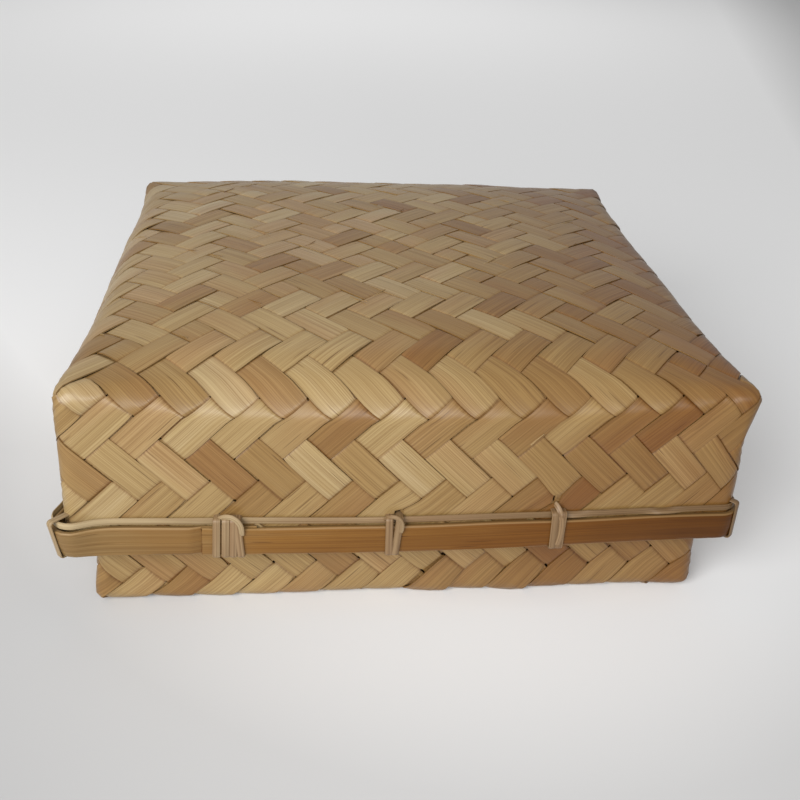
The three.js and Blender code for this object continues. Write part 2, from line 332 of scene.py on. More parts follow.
# Every piece is a set of flat grids, one above another, whose points place() moves to where they
# belong. A grid that closes on itself is a strip or strand with a thickness.
def gridPiece(name, half, sizes, place, material, replaced):
    flat = bmesh.new()
    for level, (along, around) in enumerate(sizes):
        shelf = Matrix.Translation((0, 0, level))
        bmesh.ops.create_grid(flat, x_segments=along, y_segments=around, size=0.5, matrix=shelf)
    mesh = bpy.data.meshes.new(name)
    flat.to_mesh(mesh)
    flat.free()

    count = len(mesh.vertices)
    spots = np.empty(count * 3, np.float32)
    mesh.vertices.foreach_get("co", spots)
    spots = spots.reshape(-1, 3)
    level = np.rint(spots[:, 2]).astype(int)
    counts = np.array(sizes)[level]
    row = np.rint((spots[:, 0] + 0.5) * counts[:, 0]).astype(int)
    column = np.rint((spots[:, 1] + 0.5) * counts[:, 1]).astype(int)
    placed = place(level, row, column)
    points = inPlace(half, placed["points"])
    mesh.vertices.foreach_set("co", points.astype(np.float32).ravel())
    for attribute in ("tone", "tuck", "edge"):
        values = np.broadcast_to(placed.get(attribute, 0.0), (count,)).astype(np.float32)
        mesh.attributes.new(attribute, "FLOAT", "POINT").data.foreach_set("value", values)
    corners = np.empty(len(mesh.loops), np.int32)
    mesh.loops.foreach_get("vertex_index", corners)
    uv = (placed["uv"] * mm)[corners].astype(np.float32)
    mesh.uv_layers.new(name="fibres").data.foreach_set("uv", uv.ravel())
    closeSeams(mesh)
    mesh.materials.append(material)
    piece = bpy.data.objects.new(name, mesh)
    bpy.context.scene.collection.objects.link(piece)
    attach(piece, half["name"])
    if replaced:
        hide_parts(*replaced)
    print(f"{name}: {len(mesh.polygons)} faces")


# A fold is round mid-side and tightens towards the corners
def foldRadiusAt(half, along):
    straight = half["size"] - half["cornerRadius"]
    share = np.minimum(1, np.abs(along) / straight)
    return half["cornerRadius"] + (half["foldRadius"] - half["cornerRadius"]) * (1 - share**4)


# Where a fold's middle lies in the flat sheet, measured from the sheet's middle
def creaseAt(half):
    return half["size"] + (1 - math.pi / 4) * half["cornerRadius"]


def crownFall(share):
    return np.maximum(0, 1 - share**4)


# Hands pull a sheet of plaiting out of true, and the tying strands force its strips apart
drag = {
    "pullStart": 60.0,  # the front is pulled aside from this far in front of the middle on
    "pullGrowth": 60.0,
    "pullSkew": 0.6,  # share by which the right end is pulled more
    "driftRise": 9.0,  # the back's bands drift from the fold on
    "driftEnd": 62.0,
    "driftFade": 30.0,
    "slotReach": 1.7,  # a slot pushes strips aside over this many of its radii
    "tieReach": 8.0,  # distance over which a tie drags strips up or down
}


def outOfTrue(half, x, y, xFirst):
    crease = creaseAt(half)
    roundCorner = xFirst & (np.abs(y) > crease)
    share = np.where(roundCorner, np.sign(x) * (2 * crease - np.abs(y)), x) / crease
    share = np.clip(share, -1, 1)
    grown = np.clip((-y - drag["pullStart"]) / drag["pullGrowth"], 0, 1)
    pull = half["pull"] * (1 + drag["pullSkew"] * share) * (1 - share**6) * grown
    beyond = np.where(roundCorner, np.abs(x), y) - crease
    drift = np.interp(share, [-1, 1], half["bandDrift"]) * (1 - share**8) * (y > 0)
    drift = drift * np.clip(beyond / drag["driftRise"], 0, 1)
    drift = drift * np.clip((drag["driftEnd"] - beyond) / drag["driftFade"], 0, 1)
    moveX = np.where(roundCorner, np.sign(x) * drift, pull)
    moveY = np.where(roundCorner, np.sign(x) * pull, drift)
    for slotX, slotY, radius, raised in half["slots"]:
        awayX, awayY = x - slotX, y - slotY
        away = np.hypot(awayX, awayY) + 0.01  # never 0, because it divides
        push = radius * np.exp(-((away / (drag["slotReach"] * radius)) ** 2)) / away
        lift = raised * np.exp(-((away / drag["tieReach"]) ** 2))
        moveX, moveY = moveX + awayX * push, moveY + awayY * push + lift
    return x + moveX, y + moveY


# The flat sheet of plaiting, folded down over the box. u runs outwards across the fold that a
# point meets first and v along it. Past a corner of the sheet, a point goes round the box's corner.
def foldSheet(half, x, y, xFirst):
    size, corner, crease = half["size"], half["cornerRadius"], creaseAt(half)
    steepest = 1.1  # radians, short of where a tangent runs away
    x, y = outOfTrue(half, x, y, xFirst)
    u, v = np.where(xFirst, x, y), np.where(xFirst, y, x)
    signU, signV = np.where(u < 0, -1, 1), np.where(v < 0, -1, 1)
    u, v = np.abs(u), np.abs(v)
    wrapped = v > crease
    radius = foldRadiusAt(half, np.where(wrapped, size + crease - v, v))
    crossRadius = foldRadiusAt(half, u)

    def arcStart(r):
        return size - (math.pi / 2 - 1) * r

    def bend(distance, r):
        return (distance - arcStart(r)) / r

    def flat(distance, r):
        return np.minimum(distance / arcStart(r), 1) * (size - r)

    fold = bend(u, radius)
    onTop = fold <= math.pi / 4
    rise = np.tan(np.clip(math.pi / 2 - fold, 0, math.pi / 4))
    topU = np.tan(np.clip(fold, 0, steepest))
    topV = np.tan(np.clip(bend(v, crossRadius), 0, steepest))
    toCorner = np.tan(np.clip(bend(v, corner), 0, math.pi / 4))
    pastCorner = np.tan(np.clip(math.pi / 2 - bend(v, corner), 0, math.pi / 4))
    ones = np.ones_like(u)
    nu = np.where(onTop, topU, np.where(wrapped, pastCorner, ones))
    nv = np.where(onTop, topV, np.where(wrapped, ones, toCorner))
    nz = np.where(onTop, ones, rise)
    norm = np.sqrt(nu**2 + nv**2 + nz**2)
    nu, nv, nz = nu / norm, nv / norm, nz / norm

    spread = np.maximum(nu**2 + nv**2, 1e-9)
    topRadius = (radius * nu**2 + crossRadius * nv**2) / spread
    wallU = size - np.where(toCorner > 0, corner, radius) * (1 - nu)
    wallV = size - np.where(pastCorner > 0, corner, radius) * (1 - nv)
    pu = np.where(
        onTop,
        flat(u, radius) + radius * nu,
        np.where(wrapped, flat(2 * crease - v, corner) + corner * nu, wallU),
    )
    pv = np.where(
        onTop,
        flat(v, crossRadius) + crossRadius * nv,
        np.where(wrapped, wallV, flat(v, corner) + corner * nv),
    )
    down = np.maximum(0, u - size - radius)
    z = half["depth"] + np.where(onTop, topRadius, radius) * (nz - 1) - np.where(onTop, 0, down)

    px, py = np.where(xFirst, pu * signU, pv * signV), np.where(xFirst, pv * signV, pu * signU)
    z = z + half["crown"] * crownFall(px / size) * crownFall(py / size) * nz
    straight = size - corner
    shoulder, browStart = half["shoulder"]
    brow = np.clip((-py - browStart) / (size - browStart), 0, 1)
    z = z - shoulder * brow**2 * np.sqrt(1 - brow) * crownFall(px / straight)
    swellX = np.maximum(0, 1 - (px / straight) ** 2) ** 2
    swellY = np.maximum(0, 1 - (py / straight) ** 2) ** 2
    heights = [rim["band"], half["depth"] - half["foldRadius"]]
    bowX, bowY = (np.interp(z, heights, pair) for pair in zip(half["rimBow"], half["foldBow"]))
    return np.stack([px * (1 + bowX * swellY / size), py * (1 + bowY * swellX / size), z], 1)


def outwardNormal(half, x, y, xFirst, points):
    step = 0.02
    alongX = foldSheet(half, x + step, y, xFirst) - points
    alongY = foldSheet(half, x, y + step, xFirst) - points
    normal = np.cross(alongX, alongY)
    return normal / np.linalg.norm(normal, axis=1, keepdims=True)


# Slow unevenness of hand plaiting, none of it behind the rim: two crossing waves, about 110 and
# 130 mm long, each bent by a longer one
def unevenness(points):
    x, y, z = points.T
    wave = np.sin(x / 17 + 1.3 * np.sin(y / 29)) + np.sin(y / 21 + 1.7 * np.sin(x / 33 + z / 19) + 2)
    height, fadeIn = 0.25, 15
    return height * wave * np.clip((z - rim["band"]) / fadeIn, 0, 1)


# Painted shade: the right hand side is painted darker, for the light that falls off away from the front
# left
def paintedFalloff(points):
    darkest = 0.5
    return darkest * np.clip(points[:, 0] / lid["size"], 0, 1)


lidPlait = {
    "strips": 15,  # across one side
    "fill": (0.955, 0.99),  # share of its pitch that a strip fills
    "thickness": 0.5,
    "ply": 0.34,  # from the middle of the wall to the middle of a strip that lies over or under
    "dive": 0.9,  # length over which a strip passes from over to under
    "bulge": 0.14,  # how far a strip arches where it lies over
    "swell": (0.4, 2.4),  # least share of that bulge, and what the fullest have on top
    "foldSwell": (1.3, 7.0, 12.0),  # added share of it at the folds, how far above them, what reach
    "sag": -0.25,  # share of it where a strip lies under
    "cup": 0.1,  # how far a strip's edges curl in
    "tilt": 0.014,
    "wander": 0.12,
    "waves": (19, 47),
    "stray": 0.14,  # how far a strip lies from its even place
    "pinch": 0.45,  # a strip narrows by up to this on each side where it dives
    "pinchReach": 1.8,
    "cut": 14,  # length over which a strip's end turns to its cut along the rim
    "lastStep": 0.8,  # shortest step before a strip's end
    "tones": (0.34, 0.1),  # middle and spread
    "fade": 0.05,  # spread of tone along one strip
    "darkShare": 0.1,  # share of the strips that are darker
    "darkTones": (0.5, 0.72),
    "shade": (0.6, 0.9),  # how much painted shade a strip takes where it lies under and where it dives
}
basePlait = {
    **lidPlait,
    "strips": 14,
    "fill": (0.94, 0.985),
    "bulge": 0.32,
    "cup": 0.3,
    "tilt": 0.03,
    "stray": 0.22,
    "pinch": 0.9,
    "tones": (0.5, 0.1),
}
slotLook = {"aboveRim": 19, "radius": (0.5, 1.0)}


# The slots that the tying strands pass through: above each tie, where four strips meet. Where the
# strips were drawn up, the slot is a row nearer the rim.
def tieSlots(half, plait):
    rowHeight = creaseAt(half) / plait["strips"]
    slots = []
    for side in range(4):
        turn = side * math.pi / 2
        for station, frontSlot in zip(half["stations"], half["frontSlots"]):
            radius, raised = chance.uniform(*slotLook["radius"]), 0.0
            if side == 0:
                radius, raised = frontSlot
            rows = round((half["size"] + half["depth"] - slotLook["aboveRim"]) / rowHeight)
            rows = rows + (raised > 0)
            aside = (station * half["size"] - half["pull"] * (side == 0)) / rowHeight
            alongSide = rowHeight * (2 * round((aside - rows) / 2) + rows)
            outwards = -rowHeight * rows
            slotX = alongSide * math.cos(turn) + outwards * math.sin(turn)
            slotY = outwards * math.cos(turn) - alongSide * math.sin(turn)
            slots.append((slotX, slotY, radius, raised))
    return slots


lid["slots"] = tieSlots(lid, lidPlait)
base["slots"] = tieSlots(base, basePlait)

# A strip's section, as shares of half its width and half its thickness
stripSection = [(-1, 1), (-0.5, 1), (0, 1), (0.5, 1), (1, 1), (1, -1), (0, -1), (-1, -1), (-1, 1)]
stripAcross, stripThrough = np.array(stripSection).T


# Which strip lies on top, as in the photo: over two and under two, in squares round the middle.
# Seen from outside, the strips that run down to the right show in two rows of every four.
def liesOver(half, x, y, rising, rowHeight):
    row = np.rint(np.maximum(abs(x), abs(y)) / rowHeight - 1).astype(int) + half["rowShift"]
    shown = (row % 4 == 1) | (row % 4 == 2)
    downRight = (abs(x) > abs(y)) == rising
    return np.where(downRight, shown, ~shown)


# The flat sheet's point at s along the strip whose middle is there, and o to one side of it
def alongStrip(middle, s, o, rising):
    run, side = s / math.sqrt(2), o / math.sqrt(2)
    if rising:
        x, y = middle / 2 + run, run - middle / 2
        return x + side, y - side, np.abs(x) > np.abs(y)
    x, y = middle / 2 + run, middle / 2 - run
    return x + side, y + side, np.abs(x) > np.abs(y)


cellCount = 52  # cells of the plaiting along a strip, half of them to each side of its middle
cellStations = np.array([0, 0.05, 0.13, 0.34, 0.66, 0.87, 0.95])  # closest where a strip dives


# Where a strip lies over or under, and what each such float has of its own: its start and end,
# how full it is, how it leans, how it narrows at either end and how its tone differs
def floatsOf(half, plait, middle, rising):
    rowHeight = creaseAt(half) / plait["strips"]
    pitch = rowHeight * math.sqrt(2)
    cells = np.arange(cellCount) - cellCount // 2
    x, y, _ = alongStrip(middle, (cells + 0.5) * pitch, 0, rising)
    over = liesOver(half, x, y, rising, rowHeight)
    leastSwell, moreSwell = plait["swell"]
    floats = np.zeros((cellCount, 7))
    first = 0
    for cell in range(1, cellCount + 1):
        if cell == cellCount or over[cell] != over[first]:
            floats[first:cell] = [
                cells[first] * pitch,
                (cells[cell - 1] + 1) * pitch,
                leastSwell + moreSwell * chance.uniform(0, 1) ** 3,
                chance.normal(0, plait["tilt"]),
                chance.uniform(0, 1) ** 2 * plait["pinch"],
                chance.uniform(0, 1) ** 2 * plait["pinch"],
                chance.normal(0, plait["fade"]),
            ]
            first = cell
    return over, floats


def plaitedStrips(half, plait, rising, name, replaced):
    crease = creaseAt(half)
    rowHeight = crease / plait["strips"]
    pitch = rowHeight * math.sqrt(2)
    sheetEnd = crease + half["depth"] - (crease - half["size"])
    cells = np.arange(cellCount) - cellCount // 2

    strips = []
    for index in range(-plait["strips"], plait["strips"]):
        middle = (index + 0.5) * 2 * rowHeight
        reach = math.sqrt(2) * (sheetEnd - abs(middle) / 2)
        over, floats = floatsOf(half, plait, middle, rising)
        stations = ((cells[:, None] + cellStations) * pitch).ravel()
        stations = stations[np.abs(stations) < reach - plait["lastStep"]]
        tone = np.clip(chance.normal(*plait["tones"]), 0.0, 1.0)
        if chance.random() < plait["darkShare"]:
            tone = chance.uniform(*plait["darkTones"])
        strips.append(
            {
                "middle": middle,
                "reach": reach,
                "stations": np.concatenate([[-reach], stations, [reach]]),
                "over": over,
                "floats": floats,
                "tone": tone,
                "width": pitch * chance.uniform(*plait["fill"]),
                "stray": chance.normal(0, plait["stray"]),
                "phase": chance.uniform(0, 2 * math.pi, 2),
            }
        )

    longest = max(len(strip["stations"]) for strip in strips)
    stations = np.array(
        [np.pad(strip["stations"], (0, longest - len(strip["stations"]))) for strip in strips]
    )
    table = {key: np.array([strip[key] for strip in strips]) for key in strips[0] if key != "stations"}
    foldShare, aboveFold, foldReach = plait["foldSwell"]
    wave, longWave = plait["waves"]
    underShade, diveShade = plait["shade"]
    ownAlong, ownAcross = ownStretch["strip"]

    def place(level, row, column):
        middle, reach = table["middle"][level], table["reach"][level]
        phase = table["phase"][level]
        s = stations[level, row]
        cell = np.clip(np.floor(s / pitch + 1e-6).astype(int) + cellCount // 2, 0, cellCount - 1)
        start, end, _, _, pinchStart, pinchEnd, _ = table["floats"][level, cell].T
        pinched = pinchStart * np.exp(-(((s - start) / plait["pinchReach"]) ** 2))
        pinched = pinched + pinchEnd * np.exp(-(((s - end) / plait["pinchReach"]) ** 2))
        o = stripAcross[column] * (table["width"][level] / 2 - pinched)
        # The ends are cut along the rim, at 45 degrees to the strip
        nearEnd = np.clip((np.abs(s) - reach + plait["cut"]) / plait["cut"], 0, 1)
        nearEnd = nearEnd * nearEnd * (3 - 2 * nearEnd)
        s = s - np.sign(s) * np.sign(middle) * o * nearEnd

        cell = np.clip(np.floor(s / pitch).astype(int) + cellCount // 2, 0, cellCount - 1)
        start, end, swell, lean, _, _, faded = table["floats"][level, cell].T
        wander = plait["wander"] * np.sin(s / wave + phase[:, 0]) * np.cos(s / longWave + phase[:, 1])
        x, y, xFirst = alongStrip(middle, s, o + wander + table["stray"][level], rising)
        # Floats are fuller at every fold but the front one
        toFold = np.maximum(np.abs(x), y) - crease + aboveFold
        swell = swell * (1 + foldShare * np.exp(-((toFold / foldReach) ** 2)))
        over = np.where(table["over"][level, cell], 1, -1)
        rise = np.clip(np.minimum(s - start, end - s) / plait["dive"], 0, 1)
        rise = np.sin(rise * math.pi / 2)
        arch = 1 - np.clip(((2 * s - start - end) / (end - start)) ** 2, 0, 1)
        bulge = plait["bulge"] * swell * arch * np.where(over > 0, 1, plait["sag"])
        cup = -plait["cup"] * stripAcross[column] ** 2 * rise * (over > 0)
        height = over * rise * plait["ply"] + bulge + cup + lean * o * rise
        height = height + stripThrough[column] * plait["thickness"] / 2 - rim["weave"] / 2

        points = foldSheet(half, x, y, xFirst)
        normal = outwardNormal(half, x, y, xFirst, points)
        height = height + unevenness(points)
        back = ownStretch["stripBack"] * stripThrough[column]
        return {
            "points": heldLevel(half, points + normal * height[:, None]),
            "uv": np.stack([s + ownAlong * level, o + ownAcross * level + back], 1),
            # Darker to the right, as painted shade
            "tone": table["tone"][level] + faded + paintedFalloff(points),
            # Painted shade where the strip lies under and where it dives
            "tuck": np.where(over > 0, 0, rise) * underShade + (1 - rise) * diveShade,
            "edge": np.abs(stripAcross[column]),
        }

    sizes = [(len(strip["stations"]) - 1, len(stripSection) - 1) for strip in strips]
    gridPiece(name, half, sizes, place, scrapedBamboo, replaced)


plaitedStrips(lid, lidPlait, True, "lid_strips_rising", ["lid_weave"])
plaitedStrips(lid, lidPlait, False, "lid_strips_falling", [])
plaitedStrips(base, basePlait, True, "base_strips_rising", ["base_weave"])
plaitedStrips(base, basePlait, False, "base_strips_falling", [])
print("both halves plaited")


# Slivers: thin splits of strip that have come away from an edge and stand up a little
slivers = {
    "count": {"lid": 26, "base": 14},
    "steps": 5,
    "strips": 13,  # they grow on this many strips to each side of the middle
    "aboveRim": 30,
    "aside": (0.3, 0.49),  # from a strip's middle, as shares of its pitch
    "length": (4.0, 12.0),
    "width": (0.3, 0.7),
    "taper": 0.75,
    "thickness": 0.24,
    "root": -0.2,  # a sliver starts this far under the surface
    "lift": (0.3, 1.1),
    "slant": 0.05,
    "tones": (0.1, 0.9),
}


def liftedSlivers(half, plait):
    count, steps = slivers["count"][half["name"]], slivers["steps"]
    crease = creaseAt(half)
    pitch = crease / plait["strips"] * math.sqrt(2)
    strips = chance.integers(-slivers["strips"], slivers["strips"], count)
    middles = (strips + 0.5) * pitch * math.sqrt(2)
    reach = math.sqrt(2) * (crease + half["depth"] - slivers["aboveRim"] - np.abs(middles) / 2)
    starts = chance.uniform(-1, 1, count) * reach
    sides = chance.choice([-1, 1], count) * chance.uniform(*slivers["aside"], count) * pitch
    lengths = chance.uniform(*slivers["length"], count)
    widths = chance.uniform(*slivers["width"], count)
    lifts = chance.uniform(*slivers["lift"], count)
    slants = chance.normal(0, slivers["slant"], count)
    tones = chance.uniform(*slivers["tones"], count)
    isRising = chance.random(count) < 0.5
    ownAlong, ownAcross = ownStretch["sliver"]

    def place(level, row, column):
        share = row / steps
        width = widths[level] * (1 - slivers["taper"] * share)
        s = starts[level] + lengths[level] * share
        o = sides[level] + stripAcross[column] * width / 2 + slants[level] * lengths[level] * share
        rising = alongStrip(middles[level], s, o, True)
        falling = alongStrip(middles[level], s, o, False)
        x, y, xFirst = (np.where(isRising[level], a, b) for a, b in zip(rising, falling))
        points = foldSheet(half, x, y, xFirst)
        normal = outwardNormal(half, x, y, xFirst, points)
        height = slivers["root"] + lifts[level] * share**2
        height = height + stripThrough[column] * slivers["thickness"] / 2 + unevenness(points)
        return {
            "points": heldLevel(half, points + normal * height[:, None]),
            "uv": np.stack([s + ownAlong * level, o + ownAcross * level], 1),
            "tone": tones[level],
        }

    sizes = [(steps, len(stripSection) - 1)] * count
    gridPiece(f"{half['name']}_slivers", half, sizes, place, scrapedBamboo, [])


liftedSlivers(lid, lidPlait)
liftedSlivers(base, basePlait)


# The rim's outline, clockwise seen from above, from the front right corner
def rimPath(half):
    straight = half["size"] - half["cornerRadius"]
    share = np.linspace(1, -1, rim["sideSteps"], endpoint=False)
    swell = 1 - share**2
    bow = half["rimBow"][0]
    sidePoints = np.stack([share * straight, -half["size"] - bow * swell**2], 1)
    sideNormals = np.stack([4 * bow * share * swell / straight, -np.ones_like(share)], 1)
    angle = -math.pi / 2 * np.linspace(1, 2, rim["cornerSteps"], endpoint=False)
    cornerNormals = np.stack([np.cos(angle), np.sin(angle)], 1)
    cornerPoints = cornerNormals * half["cornerRadius"] - straight
    points, normals = [], []
    for side in range(4):
        turn = np.array(Matrix.Rotation(-side * math.pi / 2, 2)).T
        points.append(np.concatenate([sidePoints, cornerPoints]) @ turn)
        normals.append(np.concatenate([sideNormals, cornerNormals]) @ turn)
    points, normals = np.concatenate(points), np.concatenate(normals)
    normals /= np.linalg.norm(normals, axis=1, keepdims=True)
    points = np.concatenate([points, points[:1]])
    normals = np.concatenate([normals, normals[:1]])
    lengths = np.concatenate([[0], np.cumsum(np.linalg.norm(np.diff(points, axis=0), axis=1))])
    return {"points": points, "normals": normals, "lengths": lengths, "total": lengths[-1]}


def alongRim(path, length):
    at = np.mod(length, path["total"])
    point = np.stack([np.interp(at, path["lengths"], path["points"][:, k]) for k in (0, 1)], 1)
    normal = np.stack([np.interp(at, path["lengths"], path["normals"][:, k]) for k in (0, 1)], 1)
    return point, normal


# How far along the rim a tie's station is, and the corner that ends a side
def lengthAt(half, path, side, share):
    fromMiddle = share * half["size"]
    return side * path["total"] / 4 + half["size"] - half["cornerRadius"] - fromMiddle


def lengthAtCorner(half, path, side):
    return (side + 1) * path["total"] / 4 - half["cornerRadius"] * math.pi / 4


# How far the slat has sprung away from the weave
def looseness(half, path, length):
    away = np.mod(length - lengthAtCorner(half, path, 0) + path["total"] / 2, path["total"])
    return half["looseCorner"] * np.exp(-(((away - path["total"] / 2) / rim["looseReach"]) ** 2))


def rimPoints(path, length, out, z):
    point, normal = alongRim(path, length)
    flat = point + normal * out[:, None]
    return np.concatenate([flat, z[:, None]], 1)


slatLook = {
    "spacing": 1.6,
    "planedOff": 0.2,  # both planed ends together are this much thinner than the slat
    "cutStep": 0.4,  # its cut end shows for this far
    # Painted shade that darkens the slat's cut end
    "cutShade": 1.9,
    "raggedEnd": 0.7,
    "unevenHeight": 0.3,
    "waves": (37, 13),
    "spring": (0.3, 0.9),  # share of the looseness at its foot, and what its top has on top
    "tones": {"lid": (0.0, 1.0), "base": (0.3, 0.6)},  # at its left and its right; darker to the right, as painted shade
}


def slat(half, outer):
    path = rimPath(half)
    thickness = half["outerSlat"] if outer else half["innerSlat"]
    near = rim["gap"] if outer else -rim["weave"] - rim["gap"]
    out = 1 if outer else -1
    lapAt = lengthAt(half, path, 0, half["stations"][0])
    start = lapAt - rim["lap"] / 2
    total, lap = path["total"], rim["lap"]
    stations = np.arange(0, total + lap - 1, slatLook["spacing"])
    stations = np.append(stations, [total + lap - slatLook["cutStep"], total + lap])
    high = rim["slatHeight"]
    # Its section, with rounded edges: shares of its thickness from its back, and heights
    depth, heights = np.array([
        (0.0, 0.3), (0.2, 0.0), (0.75, 0.0), (0.95, 0.45), (1.0, 1.6), (1.1, high / 2),
        (1.0, high - 1.6), (0.95, high - 0.45), (0.75, high), (0.2, high), (0.0, high - 0.3), (0.0, 0.3),
    ]).T
    planed = 0.5 * (thickness - slatLook["planedOff"])
    phases = chance.uniform(0, 6, 4)
    ragged = chance.normal(0, slatLook["raggedEnd"] / 2, len(depth))
    ragged[-1] = ragged[0]
    around = np.cumsum(np.concatenate([[0], np.hypot(np.diff(depth) * thickness, np.diff(heights))]))
    longWave, wave = slatLook["waves"]
    foot, top = slatLook["spring"]

    def place(level, row, column):
        length = stations[row]
        skin = np.interp(length, [lap, lap + rim["scarf"]], [planed, thickness])
        back = np.interp(length, [total - rim["scarf"], total], [0, thickness - planed])
        offset = near + out * (back + depth[column] * (skin - back))
        uneven = slatLook["unevenHeight"] * np.sin(length / longWave + phases[0])
        uneven = uneven * np.sin(length / wave + phases[1])
        z = heights[column] + np.where(heights[column] > high / 2, uneven, -0.3 * uneven)
        z = np.maximum(z, 0.0)
        isEnd = row == len(stations) - 1
        length = length + np.where(isEnd, ragged[column], 0)
        share = (alongRim(path, start + length)[0][:, 0] / half["size"] + 1) / 2
        if outer:
            offset = offset + looseness(half, path, start + length) * (foot + top * z / high)
        atLeft, atRight = slatLook["tones"][half["name"]]
        return {
            "points": rimPoints(path, start + length, offset, z),
            "uv": np.stack([length + ownStretch["slat"] * outer, around[column]], 1),
            # Painted shade: the slat is darker towards the right
            "tone": atLeft + (atRight - atLeft) * share,
            # The cut end takes painted shade
            "tuck": isEnd * slatLook["cutShade"],
            "edge": np.where((depth[column] > 0.1) & (depth[column] < 0.97), 0.95, 0.0),
        }

    which = "outer" if outer else "inner"
    sizes = [(len(stations) - 1, len(depth) - 1)]
    node = f"{half['name']}_{which}_slat"
    gridPiece(f"{node}_split", half, sizes, place, culmSkin, [node])


for half in (lid, base):
    slat(half, True)
    slat(half, False)
print("slats bent round both rims")


# A flat strand's section, rounded on its skin side
strandSection = [
    (-0.5, -0.2), (-0.38, -0.5), (0.38, -0.5), (0.5, -0.2), (0.44, 0.22),
    (0.25, 0.45), (0, 0.5), (-0.25, 0.45), (-0.44, 0.22), (-0.5, -0.2),
]
strandAcross, strandThrough = np.array(strandSection).T


# A point of that section: how far across and through the strand, and its place in the pattern
def strandPoint(column, width, thickness):
    wide, thick = strandAcross[column] * width, strandThrough[column] * thickness
    return wide, thick, wide + ownStretch["strandBack"] * (thick < 0)


# The strand that runs along the slat's top edge. Here and there it is twisted on edge.
runLook = {
    "spacing": 1.2,
    "twists": 9,
    "twist": (0.7, 1.4),
    "twistReach": 5,
    "fromLap": 30,  # no twist is nearer to the lap
    "lift": (0.35, 0.3),  # above the slat, and how much that varies
    "waves": (23, 41),
    "standOut": 0.5,  # where it is on edge
    "loose": 1.2,  # share of the slat's looseness
    "tones": (0.5, 0.45),  # in the middle, and how much darker at the right, as painted shade
}


def runningStrand(half):
    path = rimPath(half)
    lapAt = lengthAt(half, path, 0, half["stations"][0])
    stations = np.arange(lapAt + rim["gap"], lapAt + path["total"] - rim["gap"], runLook["spacing"])
    count, fromLap = runLook["twists"], runLook["fromLap"]
    twists = lapAt + np.sort(chance.uniform(fromLap, path["total"] - fromLap, count))
    turns = chance.choice([-1, 1], count) * chance.uniform(*runLook["twist"], count)
    phases = chance.uniform(0, 6, 3)
    wave, longWave = runLook["waves"]
    clear, varying = runLook["lift"]
    middleTone, darker = runLook["tones"]

    def place(level, row, column):
        length = stations[row]
        twist = sum(
            turn * np.exp(-(((length - at) / runLook["twistReach"]) ** 2))
            for at, turn in zip(twists, turns)
        )
        wide, thick, side = strandPoint(column, rim["strandWidth"], rim["strandThickness"])
        lift = varying * np.sin(length / wave + phases[0]) * np.sin(length / longWave + phases[1])
        z = rim["slatHeight"] + rim["gap"] + rim["strandWidth"] / 2 + (clear + lift)
        z = z + wide * np.cos(twist) - thick * np.sin(twist)
        out = rim["gap"] + rim["strandThickness"] / 2 + runLook["standOut"] * np.abs(np.sin(twist))
        out = out + runLook["loose"] * looseness(half, path, length)
        out = out + thick * np.cos(twist) + wide * np.sin(twist)
        return {
            "points": rimPoints(path, length, out, z),
            "uv": np.stack([length + ownStretch["run"], side], 1),
            # Painted shade: darker towards the right
            "tone": middleTone + darker * alongRim(path, length)[0][:, 0] / half["size"],
            "edge": 2 * np.abs(strandAcross[column]),
        }

    node = f"{half['name']}_running_strand"
    sizes = [(len(stations) - 1, len(strandSection) - 1)]
    gridPiece(f"{node}_split", half, sizes, place, tyingStrand, [node])


# Ties: where each turn crosses the slat's top and bottom edge, in millimetres from the tie's
# middle, rightwards seen from outside
tieTurns = {
    "lap": [(-4.3, -4.4), (-1.3, -1.0), (1.5, 1.9), (3.1, 4.9)],
    "side": [(-1.8, -1.3), (1.6, 1.5)],
    "corner": [(0.0, 0.0)],
}
tieLook = {
    "bend": 1.2,  # radius at which a strand turns over an edge
    "steps": 4,
    "slack": 0.1,
    "snug": 0.3,  # a corner tie is drawn tight by this, but for the one where the slat springs away
    "standOff": 1.0,  # inside a corner, the strand stands off from the inner slat
    "loose": (0.3, 1.25),  # shares of the slat's looseness at its foot and its top
    "aboveStrand": 0.3,
    "uneven": (0.2, 0.25),  # of a turn's place at the slat's top and foot
    "pressed": 0.15,  # a tight strand is this much wider and thinner
    "tones": (0.4, 0.65),
    "darker": 0.3,  # at the right, as painted shade
}


